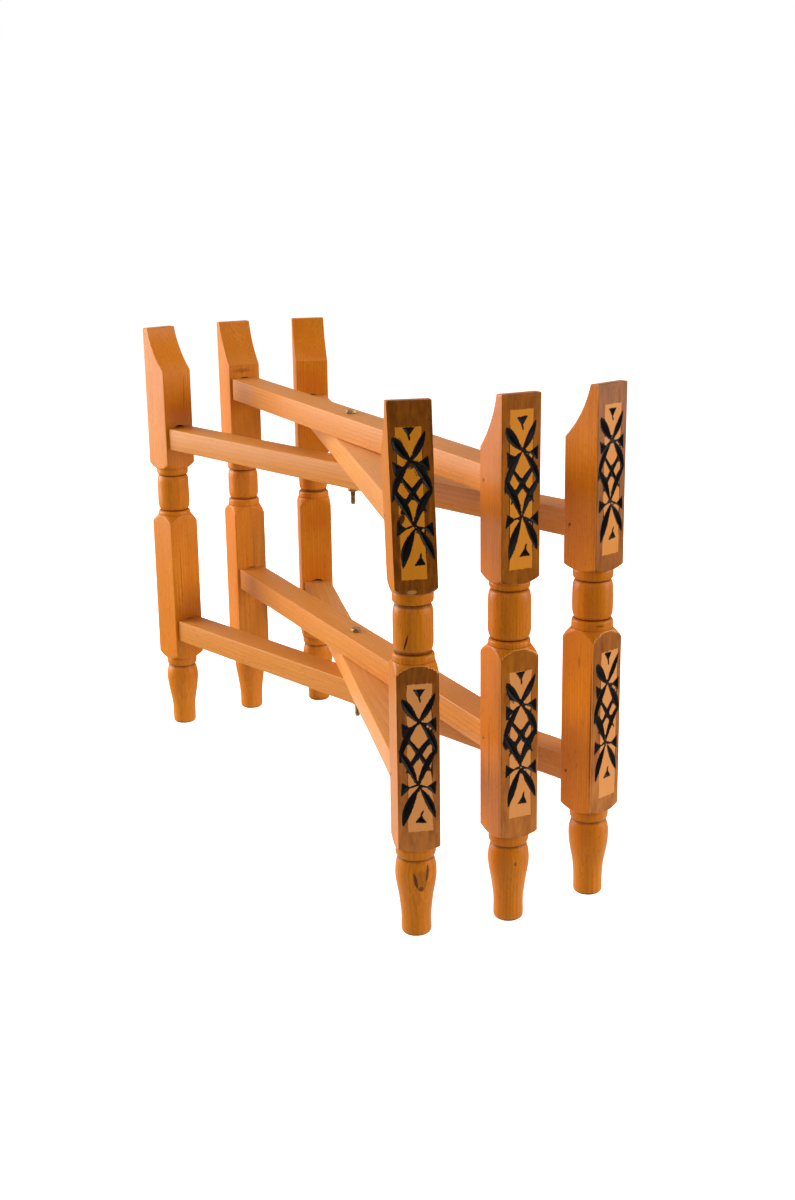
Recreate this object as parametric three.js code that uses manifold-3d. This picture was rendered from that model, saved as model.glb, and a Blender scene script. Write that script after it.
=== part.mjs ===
// Folding six-legged stand for a round tray, in millimetres, +Z up.
// Three two-legged frames cross on two vertical bolts: the frame whose rails lie on top (high), the
// one between (mid) and the one underneath (low). The origin is on the floor, on the bolts' axis.
// The high frame runs along X. The other two are drawn partly folded, at their rest angles.
import * as THREE from "three";
import { mergeVertices } from "three/addons/utils/BufferGeometryUtils.js";
import Module from "manifold-3d";

const wasm = await Module();
wasm.setup();

// Driving dimensions.
const STAND_HEIGHT = 508;
const LEG_SIDE = 40; // square stock of a leg
const OUTER_RADIUS = 370; // bolts' axis to a leg's carved outer face
const RAIL_WIDTH = 34;
const RAIL_HEIGHT = 26;
const RAIL_GAP = 0.4; // between the rails of two frames where they cross
const TOP_RAIL_Z = { upper: 440.2, lower: 194.4 }; // top faces of the high frame's two rails
const FIT_GAP = 0.3; // between pieces that touch

// Angle of each frame about the bolts, in degrees, and its place in the stack of rails.
const FRAMES = {
  high: { angle: 0, layer: 0 },
  mid: { angle: -15.3, layer: 1 },
  low: { angle: 16.3, layer: 2 },
};

// Each leg is turned by hand, so its neck differs a little: the top of the lower block, the groove
// under the barrel, the groove over it, the bottom of the upper block, and the barrel's radius.
// One upper block leans sideways too, by its lean for each millimetre of height.
const NECKS = {
  high_right: { blockTop: 265, lowGroove: 281, highGroove: 328, blockBottom: 335, barrel: 20 },
  high_left: { blockTop: 266, lowGroove: 284.5, highGroove: 322, blockBottom: 332, barrel: 18.9 },
  mid_right: {
    blockTop: 260, lowGroove: 277.5, highGroove: 323.5, blockBottom: 334, barrel: 18.6, lean: 0.03,
  },
  mid_left: { blockTop: 269, lowGroove: 287, highGroove: 326, blockBottom: 335, barrel: 18.6 },
  low_right: { blockTop: 264, lowGroove: 283.5, highGroove: 321.5, blockBottom: 331.5, barrel: 19.6 },
  low_left: { blockTop: 266.5, lowGroove: 282, highGroove: 326.5, blockBottom: 334.5, barrel: 19.5 },
};

// Turned foot, from the floor up: [height, radius].
const FOOT = [
  [0, 12.8], [2.5, 14.2], [18, 14.3], [30, 15.4], [42, 17.2], [54, 19.2],
  [63, 19.6], [72, 18.6], [77, 17.0], [79, 17.0], [81, 18.8],
];
const LOWER_BLOCK_Z = 88; // where the lower block's shoulder starts
const RING_RADIUS = 19;
const GROOVE_RADIUS = 17.4;
const BLOCK_RADIUS = 29.5; // past the corners of the square, so the block stays square
const SHOULDER = 9.5; // height over which the lathe cuts from a ring out to the corners
const UNDER_SHOULDERS = { lower: 6, upper: 7 }; // the same under a leg's two blocks, where it is flatter
const SHOULDER_SHARES = [0.25, 0.6, 1]; // where the shoulder's curve gets its points
const SHOULDER_POWER = 0.9;
const GROOVE_LIP = 2.4; // from a groove's bottom to the ring's full radius
const BARREL_END = { lip: 3.2, run: 8, drop: 0.4 }; // how a barrel rounds off into its grooves

// Scoop at the inner side of a leg's top, that holds the tray's rim: thickness left at each height.
const SCOOP_TOP_THICKNESS = 9.5;
const SCOOP_MIDDLE = { thickness: 20.8, z: 481 };
const SCOOP_END_Z = 457;
const SCOOP_STEPS = 5;

const TENON_RADIUS = 10.7;
const TENON_LENGTH = 25;
const MORTISE_RADIUS = 11;
const MORTISE_DEPTH = 26;
const MORTISE_RISE = 1.5; // how far the drilled hole shows above the rail

const OVERCUT = 5; // how far a cutting shape stands out past the wood it cuts
const NAIL = { shank: 0.9, head: 1.4, headHeight: 1.2, length: 27, proud: 0.2, inset: 7 };
const BOLT = { radius: 3, length: 100, flats: 10, headHeight: 4, chamfer: 0.8, holeRadius: 3.4 };
const WASHER = { radius: 6, height: 1.2 };
const NUT_HEIGHT = 5;

const LEG_FACETS = 24;
const BORE_FACETS = 20;
const BOLT_FACETS = 16;
const NAIL_FACETS = 8;

const INNER_RADIUS = OUTER_RADIUS - LEG_SIDE;
const AXIS_RADIUS = OUTER_RADIUS - LEG_SIDE / 2;
const HALF_SIDE = LEG_SIDE / 2;
const SIDES = { right: 0, left: Math.PI };

const legWood = new THREE.MeshStandardMaterial({ color: 0xc97f3a, roughness: 0.42, metalness: 0 });
const railWood = new THREE.MeshStandardMaterial({ color: 0xd9935a, roughness: 0.45, metalness: 0 });
const boltSteel = new THREE.MeshStandardMaterial({ color: 0x8a7445, roughness: 0.45, metalness: 0.9 });
const nailIron = new THREE.MeshStandardMaterial({ color: 0x3b2a20, roughness: 0.6, metalness: 0.8 });

// A closed geometry as a manifold solid.
function solidOf(geometry) {
  const bare = new THREE.BufferGeometry();
  bare.setAttribute("position", geometry.getAttribute("position"));
  bare.setIndex(geometry.getIndex());
  const merged = mergeVertices(bare, 1e-4);
  const corners = merged.index.array;
  const triVerts = [];
  for (let i = 0; i < corners.length; i += 3) {
    const [a, b, c] = corners.slice(i, i + 3);
    if (a !== b && b !== c && c !== a) triVerts.push(a, b, c);
  }
  return new wasm.Manifold(
    new wasm.Mesh({
      numProp: 3,
      vertProperties: merged.getAttribute("position").array,
      triVerts: new Uint32Array(triVerts),
    }),
  );
}

// A manifold solid as a three.js geometry.
function geometryOf(solid) {
  const { vertProperties, triVerts } = solid.getMesh();
  const geometry = new THREE.BufferGeometry();
  geometry.setAttribute("position", new THREE.BufferAttribute(vertProperties, 3));
  geometry.setIndex(new THREE.BufferAttribute(triVerts, 1));
  return geometry;
}

// A profile of [height, radius] pairs turned about the Z axis and closed on it.
function turned(profile, facets) {
  const points = profile.map(([z, radius]) => new THREE.Vector2(radius, z));
  points.unshift(new THREE.Vector2(0, profile[0][0]));
  points.push(new THREE.Vector2(0, profile.at(-1)[0]));
  return new THREE.LatheGeometry(points, facets).rotateX(Math.PI / 2);
}

function box(width, depth, height, x, y, z) {
  return solidOf(new THREE.BoxGeometry(width, depth, height).translate(x, y, z));
}

// A drilled hole or a round tenon lying along X.
function roundAlongX(radius, fromX, toX, z) {
  const geometry = turned([[fromX, radius], [toX, radius]], BORE_FACETS);
  return solidOf(geometry.rotateY(Math.PI / 2).translate(0, 0, z));
}

function railTopZ(layer, level) {
  return TOP_RAIL_Z[level] - layer * (RAIL_HEIGHT + RAIL_GAP);
}

// The shoulder's curve: the share of the way out to the corners, at each share of its height.
function shoulderRadius(share) {
  return RING_RADIUS + (BLOCK_RADIUS - RING_RADIUS) * Math.sin((share * Math.PI) / 2) ** SHOULDER_POWER;
}

// [height, radius] of a leg's whole turning. It is wider than the square where a block is left.
function legProfile(neck) {
  const { blockTop, lowGroove, highGroove, blockBottom, barrel } = neck;
  const { lip, run, drop } = BARREL_END;
  const profile = [...FOOT, [LOWER_BLOCK_Z, RING_RADIUS]];
  for (const share of SHOULDER_SHARES) {
    profile.push([LOWER_BLOCK_Z + share * UNDER_SHOULDERS.lower, shoulderRadius(share)]);
  }
  for (const share of SHOULDER_SHARES.toReversed()) {
    profile.push([blockTop + (1 - share) * SHOULDER, shoulderRadius(share)]);
  }
  profile.push(
    [blockTop + SHOULDER, RING_RADIUS],
    [lowGroove - GROOVE_LIP, RING_RADIUS],
    [lowGroove, GROOVE_RADIUS],
    [lowGroove + lip, barrel - drop],
    [lowGroove + run, barrel],
    [highGroove - run, barrel],
    [highGroove - lip, barrel - drop],
    [highGroove, GROOVE_RADIUS],
    [highGroove + GROOVE_LIP, RING_RADIUS],
    [blockBottom, RING_RADIUS],
  );
  for (const share of SHOULDER_SHARES) {
    profile.push([blockBottom + share * UNDER_SHOULDERS.upper, shoulderRadius(share)]);
  }
  profile.push([STAND_HEIGHT, BLOCK_RADIUS]);
  return profile;
}

// The wood cut away at the leg's top, on the inner side, where local X is negative.
function scoop() {
  const top = new THREE.Vector2(HALF_SIDE - SCOOP_TOP_THICKNESS, STAND_HEIGHT);
  const through = new THREE.Vector2(HALF_SIDE - SCOOP_MIDDLE.thickness, SCOOP_MIDDLE.z);
  const end = new THREE.Vector2(-HALF_SIDE, SCOOP_END_Z);
  const pull = through.clone().multiplyScalar(2).sub(top.clone().add(end).multiplyScalar(0.5));
  const curve = new THREE.QuadraticBezierCurve(end, pull, top);
  const outline = curve.getPoints(SCOOP_STEPS);
  const shape = new THREE.Shape([
    new THREE.Vector2(-HALF_SIDE - OVERCUT, SCOOP_END_Z - OVERCUT),
    ...outline,
    new THREE.Vector2(top.x, STAND_HEIGHT + OVERCUT),
    new THREE.Vector2(-HALF_SIDE - OVERCUT, STAND_HEIGHT + OVERCUT),
  ]);
  const depth = LEG_SIDE + 2 * OVERCUT;
  const geometry = new THREE.ExtrudeGeometry(shape, { depth, bevelEnabled: false });
  return solidOf(geometry.translate(0, 0, -depth / 2).rotateX(Math.PI / 2));
}

// A nail lies along Y, with its head at the leg's clockwise side, in the leg's own frame.
function nailProfile(grow) {
  const head = HALF_SIDE + NAIL.proud;
  return [
    [head - NAIL.length - grow, NAIL.shank + grow],
    [head - NAIL.headHeight - grow, NAIL.shank + grow],
    [head - NAIL.headHeight - grow, NAIL.head + grow],
    [head + grow, NAIL.head + grow],
  ];
}

function nailSolid(grow, x, y, z) {
  const geometry = turned(nailProfile(grow), NAIL_FACETS);
  return solidOf(geometry.rotateX(Math.PI / 2).translate(x, y, z));
}

// How far along Y a leg's axis lies at a height.
function leanAt({ blockBottom, lean = 0 }, z) {
  return -lean * Math.max(0, z - blockBottom);
}

function leaning(solid, neck) {
  const geometry = geometryOf(solid);
  const position = geometry.getAttribute("position");
  for (let i = 0; i < position.count; i += 1) {
    position.setY(i, position.getY(i) + leanAt(neck, position.getZ(i)));
  }
  return solidOf(geometry);
}

function legGeometry(layer, neck) {
  let leg = solidOf(turned(legProfile(neck), LEG_FACETS));
  leg = leg.intersect(box(LEG_SIDE, LEG_SIDE, STAND_HEIGHT, 0, 0, STAND_HEIGHT / 2));
  leg = leg.subtract(scoop());
  if (neck.lean) leg = leaning(leg, neck);
  for (const level of ["upper", "lower"]) {
    const railTop = railTopZ(layer, level);
    const holeZ = railTop + MORTISE_RISE - MORTISE_RADIUS;
    const nailZ = railTop - RAIL_HEIGHT / 2;
    leg = leg.subtract(
      roundAlongX(MORTISE_RADIUS, -HALF_SIDE - OVERCUT, -HALF_SIDE + MORTISE_DEPTH, holeZ),
    );
    leg = leg.subtract(nailSolid(FIT_GAP, -HALF_SIDE + NAIL.inset, leanAt(neck, nailZ), nailZ));
  }
  return geometryOf(leg);
}

// A rail lies along X with its top face at Z = 0. Its ends are round tenons, cut flat on top.
function railGeometry() {
  const centreZ = -RAIL_HEIGHT / 2;
  const shoulderX = INNER_RADIUS - FIT_GAP;
  let rail = box(2 * shoulderX, RAIL_WIDTH, RAIL_HEIGHT, 0, 0, centreZ);
  const tenonEnd = INNER_RADIUS + TENON_LENGTH;
  const tenonZ = MORTISE_RISE - MORTISE_RADIUS;
  let tenons = roundAlongX(TENON_RADIUS, -tenonEnd, tenonEnd, tenonZ);
  tenons = tenons.intersect(box(2 * tenonEnd, RAIL_WIDTH, RAIL_HEIGHT, 0, 0, centreZ));
  rail = rail.add(tenons);
  const hole = turned([[-RAIL_HEIGHT - 1, BOLT.holeRadius], [1, BOLT.holeRadius]], BOLT_FACETS);
  rail = rail.subtract(solidOf(hole));
  const nailX = INNER_RADIUS + NAIL.inset;
  const nailHole = nailSolid(FIT_GAP, nailX, 0, centreZ);
  rail = rail.subtract(nailHole).subtract(nailHole.rotate([0, 0, 180]));
  return geometryOf(rail);
}

function hexPrism(flats, height) {
  const corner = flats / Math.sqrt(3);
  return new THREE.CylinderGeometry(corner, corner, height, 6).rotateX(Math.PI / 2);
}

// A hex-head bolt hanging down from Z = 0, where its head rests.
function boltGeometry() {
  const { radius, length, flats, headHeight, chamfer } = BOLT;
  const corner = flats / Math.sqrt(3);
  const head = solidOf(hexPrism(flats, headHeight).translate(0, 0, headHeight / 2));
  const dome = turned(
    [[-1, corner + 1], [headHeight - chamfer, corner], [headHeight, flats / 2 - 0.4]],
    LEG_FACETS,
  );
  const shank = turned(
    [[-length, radius - chamfer], [chamfer - length, radius], [1, radius]],
    BOLT_FACETS,
  );
  return geometryOf(head.intersect(solidOf(dome)).add(solidOf(shank)));
}

// A piece hanging down from Z = 0, drilled to slip over the bolt.
function drilled(outside, height) {
  const bore = BOLT.radius + FIT_GAP;
  const hole = turned([[-height - 1, bore], [1, bore]], BOLT_FACETS);
  return geometryOf(outside.subtract(solidOf(hole)));
}

function nutGeometry() {
  const outside = hexPrism(BOLT.flats, NUT_HEIGHT).translate(0, 0, -NUT_HEIGHT / 2);
  return drilled(solidOf(outside), NUT_HEIGHT);
}

function washerGeometry() {
  const outside = turned([[-WASHER.height, WASHER.radius], [0, WASHER.radius]], LEG_FACETS);
  return drilled(solidOf(outside), WASHER.height);
}

function piece(name, geometry, material) {
  const mesh = new THREE.Mesh(geometry, material);
  mesh.name = name;
  return mesh;
}

// One frame: two legs, two rails and the nails that pin the tenons.
function frameGroup(frameName) {
  const { angle, layer } = FRAMES[frameName];
  const frame = new THREE.Group();
  frame.rotation.z = THREE.MathUtils.degToRad(angle);
  for (const level of ["upper", "lower"]) {
    const rail = piece(`${frameName}_rail_${level}`, railGeometry(), railWood);
    rail.position.z = railTopZ(layer, level);
    frame.add(rail);
  }
  for (const [side, turn] of Object.entries(SIDES)) {
    const end = new THREE.Group();
    end.rotation.z = turn;
    const neck = NECKS[`${frameName}_${side}`];
    const leg = piece(`${frameName}_leg_${side}`, legGeometry(layer, neck), legWood);
    leg.position.x = AXIS_RADIUS;
    end.add(leg);
    for (const level of ["upper", "lower"]) {
      const nail = piece(
        `${frameName}_nail_${level}_${side}`,
        geometryOf(nailSolid(0, 0, 0, 0)),
        nailIron,
      );
      const nailZ = railTopZ(layer, level) - RAIL_HEIGHT / 2;
      nail.position.set(INNER_RADIUS + NAIL.inset, leanAt(neck, nailZ), nailZ);
      end.add(nail);
    }
    frame.add(end);
  }
  return frame;
}

// The bolt on which the three frames turn, with its washer and nut under the low frame's rail.
function pivotGroup(level) {
  const pivot = new THREE.Group();
  const bolt = piece(`pivot_bolt_${level}`, boltGeometry(), boltSteel);
  bolt.position.z = TOP_RAIL_Z[level] + FIT_GAP;
  const washer = piece(`pivot_washer_${level}`, washerGeometry(), boltSteel);
  washer.position.z = railTopZ(FRAMES.low.layer, level) - RAIL_HEIGHT - FIT_GAP;
  const nut = piece(`pivot_nut_${level}`, nutGeometry(), boltSteel);
  nut.position.z = washer.position.z - WASHER.height - FIT_GAP;
  pivot.add(bolt, washer, nut);
  return pivot;
}

const stand = new THREE.Group();
for (const frameName of Object.keys(FRAMES)) stand.add(frameGroup(frameName));
for (const level of ["upper", "lower"]) stand.add(pivotGroup(level));

export default stand;
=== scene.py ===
"""A folding six-legged tray stand. Meshes are built in millimetres, each in its piece's own axes."""
import math
import random

import bmesh
import bpy
import numpy as np
from mathutils import Matrix, Vector
from mathutils.geometry import delaunay_2d_cdt


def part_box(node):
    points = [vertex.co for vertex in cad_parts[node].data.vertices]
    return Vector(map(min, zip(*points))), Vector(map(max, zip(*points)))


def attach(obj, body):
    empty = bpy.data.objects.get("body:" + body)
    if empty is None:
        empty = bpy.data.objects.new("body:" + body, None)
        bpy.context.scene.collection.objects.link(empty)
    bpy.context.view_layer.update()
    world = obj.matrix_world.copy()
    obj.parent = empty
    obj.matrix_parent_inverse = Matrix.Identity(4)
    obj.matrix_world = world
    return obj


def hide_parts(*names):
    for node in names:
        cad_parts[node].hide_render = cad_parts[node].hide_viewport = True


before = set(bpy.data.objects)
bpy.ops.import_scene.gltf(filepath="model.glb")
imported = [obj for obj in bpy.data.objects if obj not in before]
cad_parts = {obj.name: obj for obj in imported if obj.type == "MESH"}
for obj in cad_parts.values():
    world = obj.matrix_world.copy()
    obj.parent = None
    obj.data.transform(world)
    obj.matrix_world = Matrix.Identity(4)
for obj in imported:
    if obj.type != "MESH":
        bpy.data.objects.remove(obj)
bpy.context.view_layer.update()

MM = 0.001
FRAMES = ("high", "mid", "low")
SIDES = ("right", "left")
LEVELS = ("upper", "lower")


# ---- sizes, from the frame

def box_mm(node):
    """A node's lowest and highest corners, in millimetres."""
    low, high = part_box(node)
    return Vector(low) / MM, Vector(high) / MM


_leg_low, _leg_high = box_mm("high_leg_right")
LEG_SIDE = _leg_high.x - _leg_low.x
HALF = LEG_SIDE / 2
OUTER = _leg_high.x
INNER = _leg_low.x
AXIS = (OUTER + INNER) / 2
HEIGHT = _leg_high.z
_rail_low, _rail_high = box_mm("high_rail_upper")
RAIL_WIDTH = _rail_high.y - _rail_low.y
RAIL_HEIGHT = _rail_high.z - _rail_low.z
TENON_END = _rail_high.x


def turn_of(frame_name, side="right"):
    """The bearing of a leg from the pivot. The left legs are straight, so their boxes tell it."""
    low, high = box_mm(f"{frame_name}_leg_left")
    middle = (low + high) / 2
    turn = math.atan2(-middle.y, -middle.x)
    return turn if side == "right" else turn + math.pi


# ---- shape of a leg

FIT_GAP = 0.3
CORNER = 0.9            # rounding of a block's long edges
FACE_STEPS = 14         # columns across one face of the square
CORNER_STEPS = 4
TURNED_STEP = 0.8       # height of a row where the lathe has cut
BLOCK_STEP = 6.0
LOWER_BLOCK_Z = 88.0
SHOULDER = 9.5
GROOVE = 16.4           # radius at the bottom of the grooves beside a barrel
SHADED_GROOVE_RADIUS = 17.7     # above the foot, turned wood narrower than this gets painted shade, together with varnish pooled in its grooves
FOOT_TOP_Z = 75.0
UNDER_BLOCK = ((1.6, 21.2), (3.6, 23.4), (5.6, 25.4), (7.6, 27.1), (9.4, 28.4), (11.8, 30.7))
WIDE = 60.0             # a radius beyond the square's corners
SCOOP_TOP_THICKNESS = 9.5
SCOOP_MIDDLE = (20.8, 481.0)        # thickness left, height
SCOOP_END_Z = 457.0
TOP_ROUNDING = 0.8
TOP_STEPS = 4
MORTISE_RADIUS = 11.0
MORTISE_DEPTH = 26.0
MORTISE_RISE = 1.5      # how far a bored hole shows above its rail
RISES = {"low_left_upper": 3.0, "mid_left_lower": 3.2}      # holes bored higher than the rest
NAIL_INSET = 7.0
NAIL_HEAD = 1.4
NAIL_SHANK = 0.9
NAIL_LENGTH = 27.0
NAIL_PROUD = 0.2
SHARP = math.radians(28)        # edges that turn by more than this stay sharp

# The neck of each leg: top of the lower block, the two grooves, bottom of the upper block, the
# barrel's radius, and how steep the cones under its lower and upper blocks are.
NECKS = {
    "high_right": (265.0, 281.0, 328.0, 335.0, 20.0, 0.48, 0.68),
    "high_left": (266.0, 284.5, 322.0, 332.0, 18.9, 0.65, 0.75),
    "mid_right": (260.0, 277.5, 323.5, 334.0, 18.6, 0.55, 0.75),
    "mid_left": (269.0, 287.0, 326.0, 335.0, 18.6, 0.65, 0.75),
    "low_right": (264.0, 283.5, 321.5, 331.5, 19.6, 0.65, 0.50),
    "low_left": (266.5, 282.0, 326.5, 334.5, 19.5, 0.75, 0.85),
}
LEANS = {"mid_right": 0.03}     # sideways lean of an upper block, for each mm of height


def lean_at(key, z):
    """How far along Y a leg's axis lies at a height."""
    return -LEANS.get(key, 0) * max(0, z - NECKS[key][3])


def smooth_curve(knots, at):
    """Values of a curve through the knots that never overshoots them."""
    x = np.array([k[0] for k in knots], float)
    y = np.array([k[1] for k in knots], float)
    step = np.diff(x)
    rise = np.diff(y) / step
    slope = np.zeros(len(x))
    same = rise[:-1] * rise[1:] > 0
    slope[1:-1][same] = 2 * rise[:-1][same] * rise[1:][same] / (rise[:-1][same] + rise[1:][same])
    slope[0] = rise[0]
    slope[-1] = rise[-1]
    i = np.clip(np.searchsorted(x, at, side="right") - 1, 0, len(x) - 2)
    t = (at - x[i]) / step[i]
    blend = t * t * (3 - 2 * t)
    lead = step[i] * (slope[i] * t * (1 - t) ** 2 - slope[i + 1] * t * t * (1 - t))
    return y[i] + (y[i + 1] - y[i]) * blend + lead


def leg_stretches(neck):
    """The turned stretches of a leg from the floor up, as lists of (height, radius) knots. They
    meet at sharp lines. After one that ends wide, the block is left square."""
    block_top, low_groove, high_groove, block_bottom, barrel, low_steepness, high_steepness = neck
    base = LOWER_BLOCK_Z
    middle = (low_groove + high_groove) / 2
    top = block_top + SHOULDER
    return [
        [(0, 12.2), (0.7, 13.1), (2.0, 13.9), (4.5, 14.25), (14, 14.2), (20, 14.4), (28, 15.1),
         (38, 16.5), (48, 18.2), (56, 19.3), (63, 19.65), (68, 19.35), (72, 18.7), (76, 17.6),
         (78.2, 16.8)],
        [(78.2, 16.8), (79.2, 17.7), (81, 18.7), (84, 19.1), (87, 18.9), (base + 0.4, 18.4)],
        under_block(base + 0.4, low_steepness, 19.0),
        [(block_top - 2.5, 30.2), (block_top, 28.6), (block_top + 3, 26.3),
         (block_top + 5.5, 23.8), (block_top + 7.5, 21.7), (top, 20.0)],
        [(top, 19.3), (top + 1.2, 19.8), (low_groove - 3, 19.7), (low_groove - 1.2, 19.1),
         (low_groove, GROOVE)],
        [(low_groove, GROOVE), (low_groove + 0.6, GROOVE + 0.6), (low_groove + 1.8, barrel - 1.7),
         (low_groove + 4, barrel - 0.75), (low_groove + 9, barrel - 0.12), (middle, barrel),
         (high_groove - 9, barrel - 0.1), (high_groove - 4, barrel - 0.7),
         (high_groove - 1.8, barrel - 1.6), (high_groove - 0.6, GROOVE + 0.6),
         (high_groove, GROOVE)],
        [(high_groove, GROOVE), (high_groove + 0.9, 18.2), (high_groove + 2, 19.0),
         (high_groove + 4, 19.2), (block_bottom - 1.2, 19.2), (block_bottom, 18.8)],
        under_block(block_bottom, high_steepness, 19.4),
    ]


def under_block(start, steepness, radius):
    """The cone that the lathe cuts under a block, from a ring out past the square's corners."""
    knots = [(rise, reach) for rise, reach in UNDER_BLOCK if reach > radius]
    return [(start, radius)] + [(start + rise * steepness, reach) for rise, reach in knots]


def leg_rows(neck, plates):
    """(height, radius) of each row of a leg, from the floor to just under its rounded top."""
    rows = []
    edges = sorted([z for plate in plates for z in plate] + [SCOOP_END_Z])
    for knots in leg_stretches(neck):
        start = knots[0][0]
        if rows and start > rows[-1][0] + BLOCK_STEP:
            rows += block_rows(rows[-1][0], start, edges)
        span = max(knots[-1][0] - start, abs(knots[-1][1] - knots[0][1]))
        count = max(2, math.ceil(span / TURNED_STEP))
        heights = np.linspace(start, knots[-1][0], count + 1)
        rows += list(zip(heights, smooth_curve(knots, heights)))
    rows += block_rows(rows[-1][0], SCOOP_END_Z, edges)
    rows.append((SCOOP_END_Z, WIDE))
    rows += [(z, WIDE) for z in np.arange(SCOOP_END_Z + 1.5, HEIGHT - 4, 1.5)]
    rows.append((plates[-1][1], WIDE))
    rows.append((HEIGHT - TOP_ROUNDING, WIDE))
    return rows


def block_rows(low, high, edges):
    """Rows between two turned stretches, with one at each height that edges names."""
    stops = [low] + [z for z in edges if low < z < high] + [high]
    heights = []
    for a, b in zip(stops, stops[1:]):
        count = max(1, round((b - a) / BLOCK_STEP))
        heights += list(np.linspace(a, b, count + 1))[1:]
    return [(z, WIDE) for z in heights[:-1]]


def square_columns():
    """The square's outline, anticlockwise from the outer face's low-Y end."""
    flat = HALF - CORNER
    corner = []
    for k in range(1, CORNER_STEPS):
        angle = math.pi / 2 * k / CORNER_STEPS
        corner.append((flat + CORNER * math.cos(angle), flat + CORNER * math.sin(angle)))
    side = [(HALF, y) for y in np.linspace(-flat, flat, FACE_STEPS + 1)] + corner
    points = []
    for quarter in range(4):
        c, s = ((1, 0), (0, 1), (-1, 0), (0, -1))[quarter]
        points += [(x * c - y * s, x * s + y * c) for x, y in side]
    return np.array(points)


def scoop_x(z):
    """Local X of the scoop's surface at a height."""
    top = np.array([HALF - SCOOP_TOP_THICKNESS, HEIGHT])
    middle = np.array([HALF - SCOOP_MIDDLE[0], SCOOP_MIDDLE[1]])
    end = np.array([-HALF, SCOOP_END_Z])
    pull = 2 * middle - (top + end) / 2
    t = np.linspace(0, 1, 200)[:, None]
    curve = end * (1 - t) ** 2 + 2 * pull * t * (1 - t) + top * t ** 2
    return np.interp(z, curve[:, 1], curve[:, 0])


def soft_min(a, b, width):
    share = np.clip(0.5 + 0.5 * (b - a) / width, 0, 1)
    return b * (1 - share) + a * share - width * share * (1 - share)


# ---- chip carving

WALL_SLOPE = 0.8        # depth of a cut's wall for each millimetre from its edge
LEAF_STEPS = 12

# The carving, seen from outside: across, then up from the middle of the long diamond.
# A leaf is (start, end, width, bulge to the left of its direction, where it is widest).
LEAVES = [
    ((-14.5, 54.0), (0.6, 31.5), 7.4, -0.8, 0.40),
    ((15.0, 58.0), (0.6, 31.5), 5.8, 0.9, 0.50),
    ((0.4, 30.5), (-16.8, -6.0), 5.4, -3.2, 0.50),
    ((2.0, 30.5), (18.0, 0.5), 5.8, 2.4, 0.55),
    ((-11.8, 19.5), (12.6, -16.0), 3.6, 0.4, 0.52),
    ((13.8, 17.5), (-10.6, -17.5), 4.0, -0.6, 0.42),
    ((-17.0, 4.5), (0.0, -28.6), 6.2, 1.7, 0.40),
    ((18.0, 5.0), (1.0, -28.8), 5.6, -1.9, 0.42),
    ((0.8, -32.0), (-12.2, -68.0), 6.8, -1.6, 0.54),
    ((2.6, -32.5), (16.8, -62.0), 5.6, 1.4, 0.52),
]
# Small chips with three corners; a knife line runs on from the first one towards the next point.
CHIPS = [
    (((1.0, 54.5), (-3.8, 62.0), (5.4, 62.0)), (1.6, 50.5)),
    (((-6.4, 25.8), (-14.8, 31.0), (-13.6, 18.6)), (0.2, 30.2)),
    (((8.6, 29.5), (16.6, 34.6), (16.8, 22.0)), (0.8, 31.0)),
    (((-6.2, -31.8), (-14.2, -26.4), (-14.8, -38.4)), (0.2, -29.6)),
    (((9.0, -32.6), (17.0, -26.6), (17.2, -39.0)), (1.2, -29.0)),
    (((4.2, -59.5), (8.6, -66.5), (-0.6, -66.3)), (5.6, -55.8)),
]
KNIFE_LINE_WIDTH = 0.9


def leaf(start, end, width, bulge, widest):
    """A pointed cut along a bowed line: its outline and its valley line."""
    a = np.array(start)
    b = np.array(end)
    along = b - a
    across = np.array([-along[1], along[0]]) / np.linalg.norm(along)
    s = np.linspace(0, 1, LEAF_STEPS + 1)
    line = a + along * s[:, None] + across * (4 * bulge * s * (1 - s))[:, None]
    power = math.log(0.5) / math.log(widest)
    half = width / 2 * np.sin(math.pi * s ** power) ** 0.85
    half[0] = half[-1] = 0
    left = line + across * half[:, None]
    right = line - across * half[:, None]
    return np.vstack([left, right[-2:0:-1]]), [line]


def chip(corners):
    """A three-cornered cut: its outline, and the valleys from its corners to its middle."""
    points = np.array(corners)
    sides = np.linalg.norm(np.roll(points, -1, axis=0) - np.roll(points, 1, axis=0), axis=1)
    middle = (points * sides[:, None]).sum(axis=0) / sides.sum()
    return points, [np.array([point, middle]) for point in points]


def carving(place, rng):
    """All the cuts of one panel, with the small differences of handwork."""
    across, up, stretch, lean, jitter = place

    def put(point, loose=1.0):
        x = point[0] + across + lean * point[1] + rng.uniform(-jitter, jitter) * loose
        z = point[1] * stretch + up + rng.uniform(-jitter, jitter) * loose
        return (min(max(x, -18.2), 18.2), z)

    cuts = []
    for start, end, width, bulge, widest in LEAVES:
        width *= rng.uniform(0.88, 1.14)
        bulge += rng.uniform(-0.4, 0.4)
        cuts.append(leaf(put(start), put(end), width, bulge, widest))
    for corners, towards in CHIPS:
        placed = [put(corner, 0.8) for corner in corners]
        cuts.append(chip(placed))
        cuts.append(leaf(placed[0], put(towards, 0.6), KNIFE_LINE_WIDTH, 0.2, 0.4))
    return cuts


def inside(points, outline):
    """Which points lie inside a closed outline."""
    found = np.zeros(len(points), bool)
    for a, b in zip(outline, np.roll(outline, -1, axis=0)):
        crosses = (a[1] > points[:, 1]) != (b[1] > points[:, 1])
        height = np.where(crosses, points[:, 1] - a[1], 0)
        x = a[0] + height * (b[0] - a[0]) / (b[1] - a[1] if b[1] != a[1] else 1)
        found ^= crosses & (points[:, 0] < x)
    return found


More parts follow.
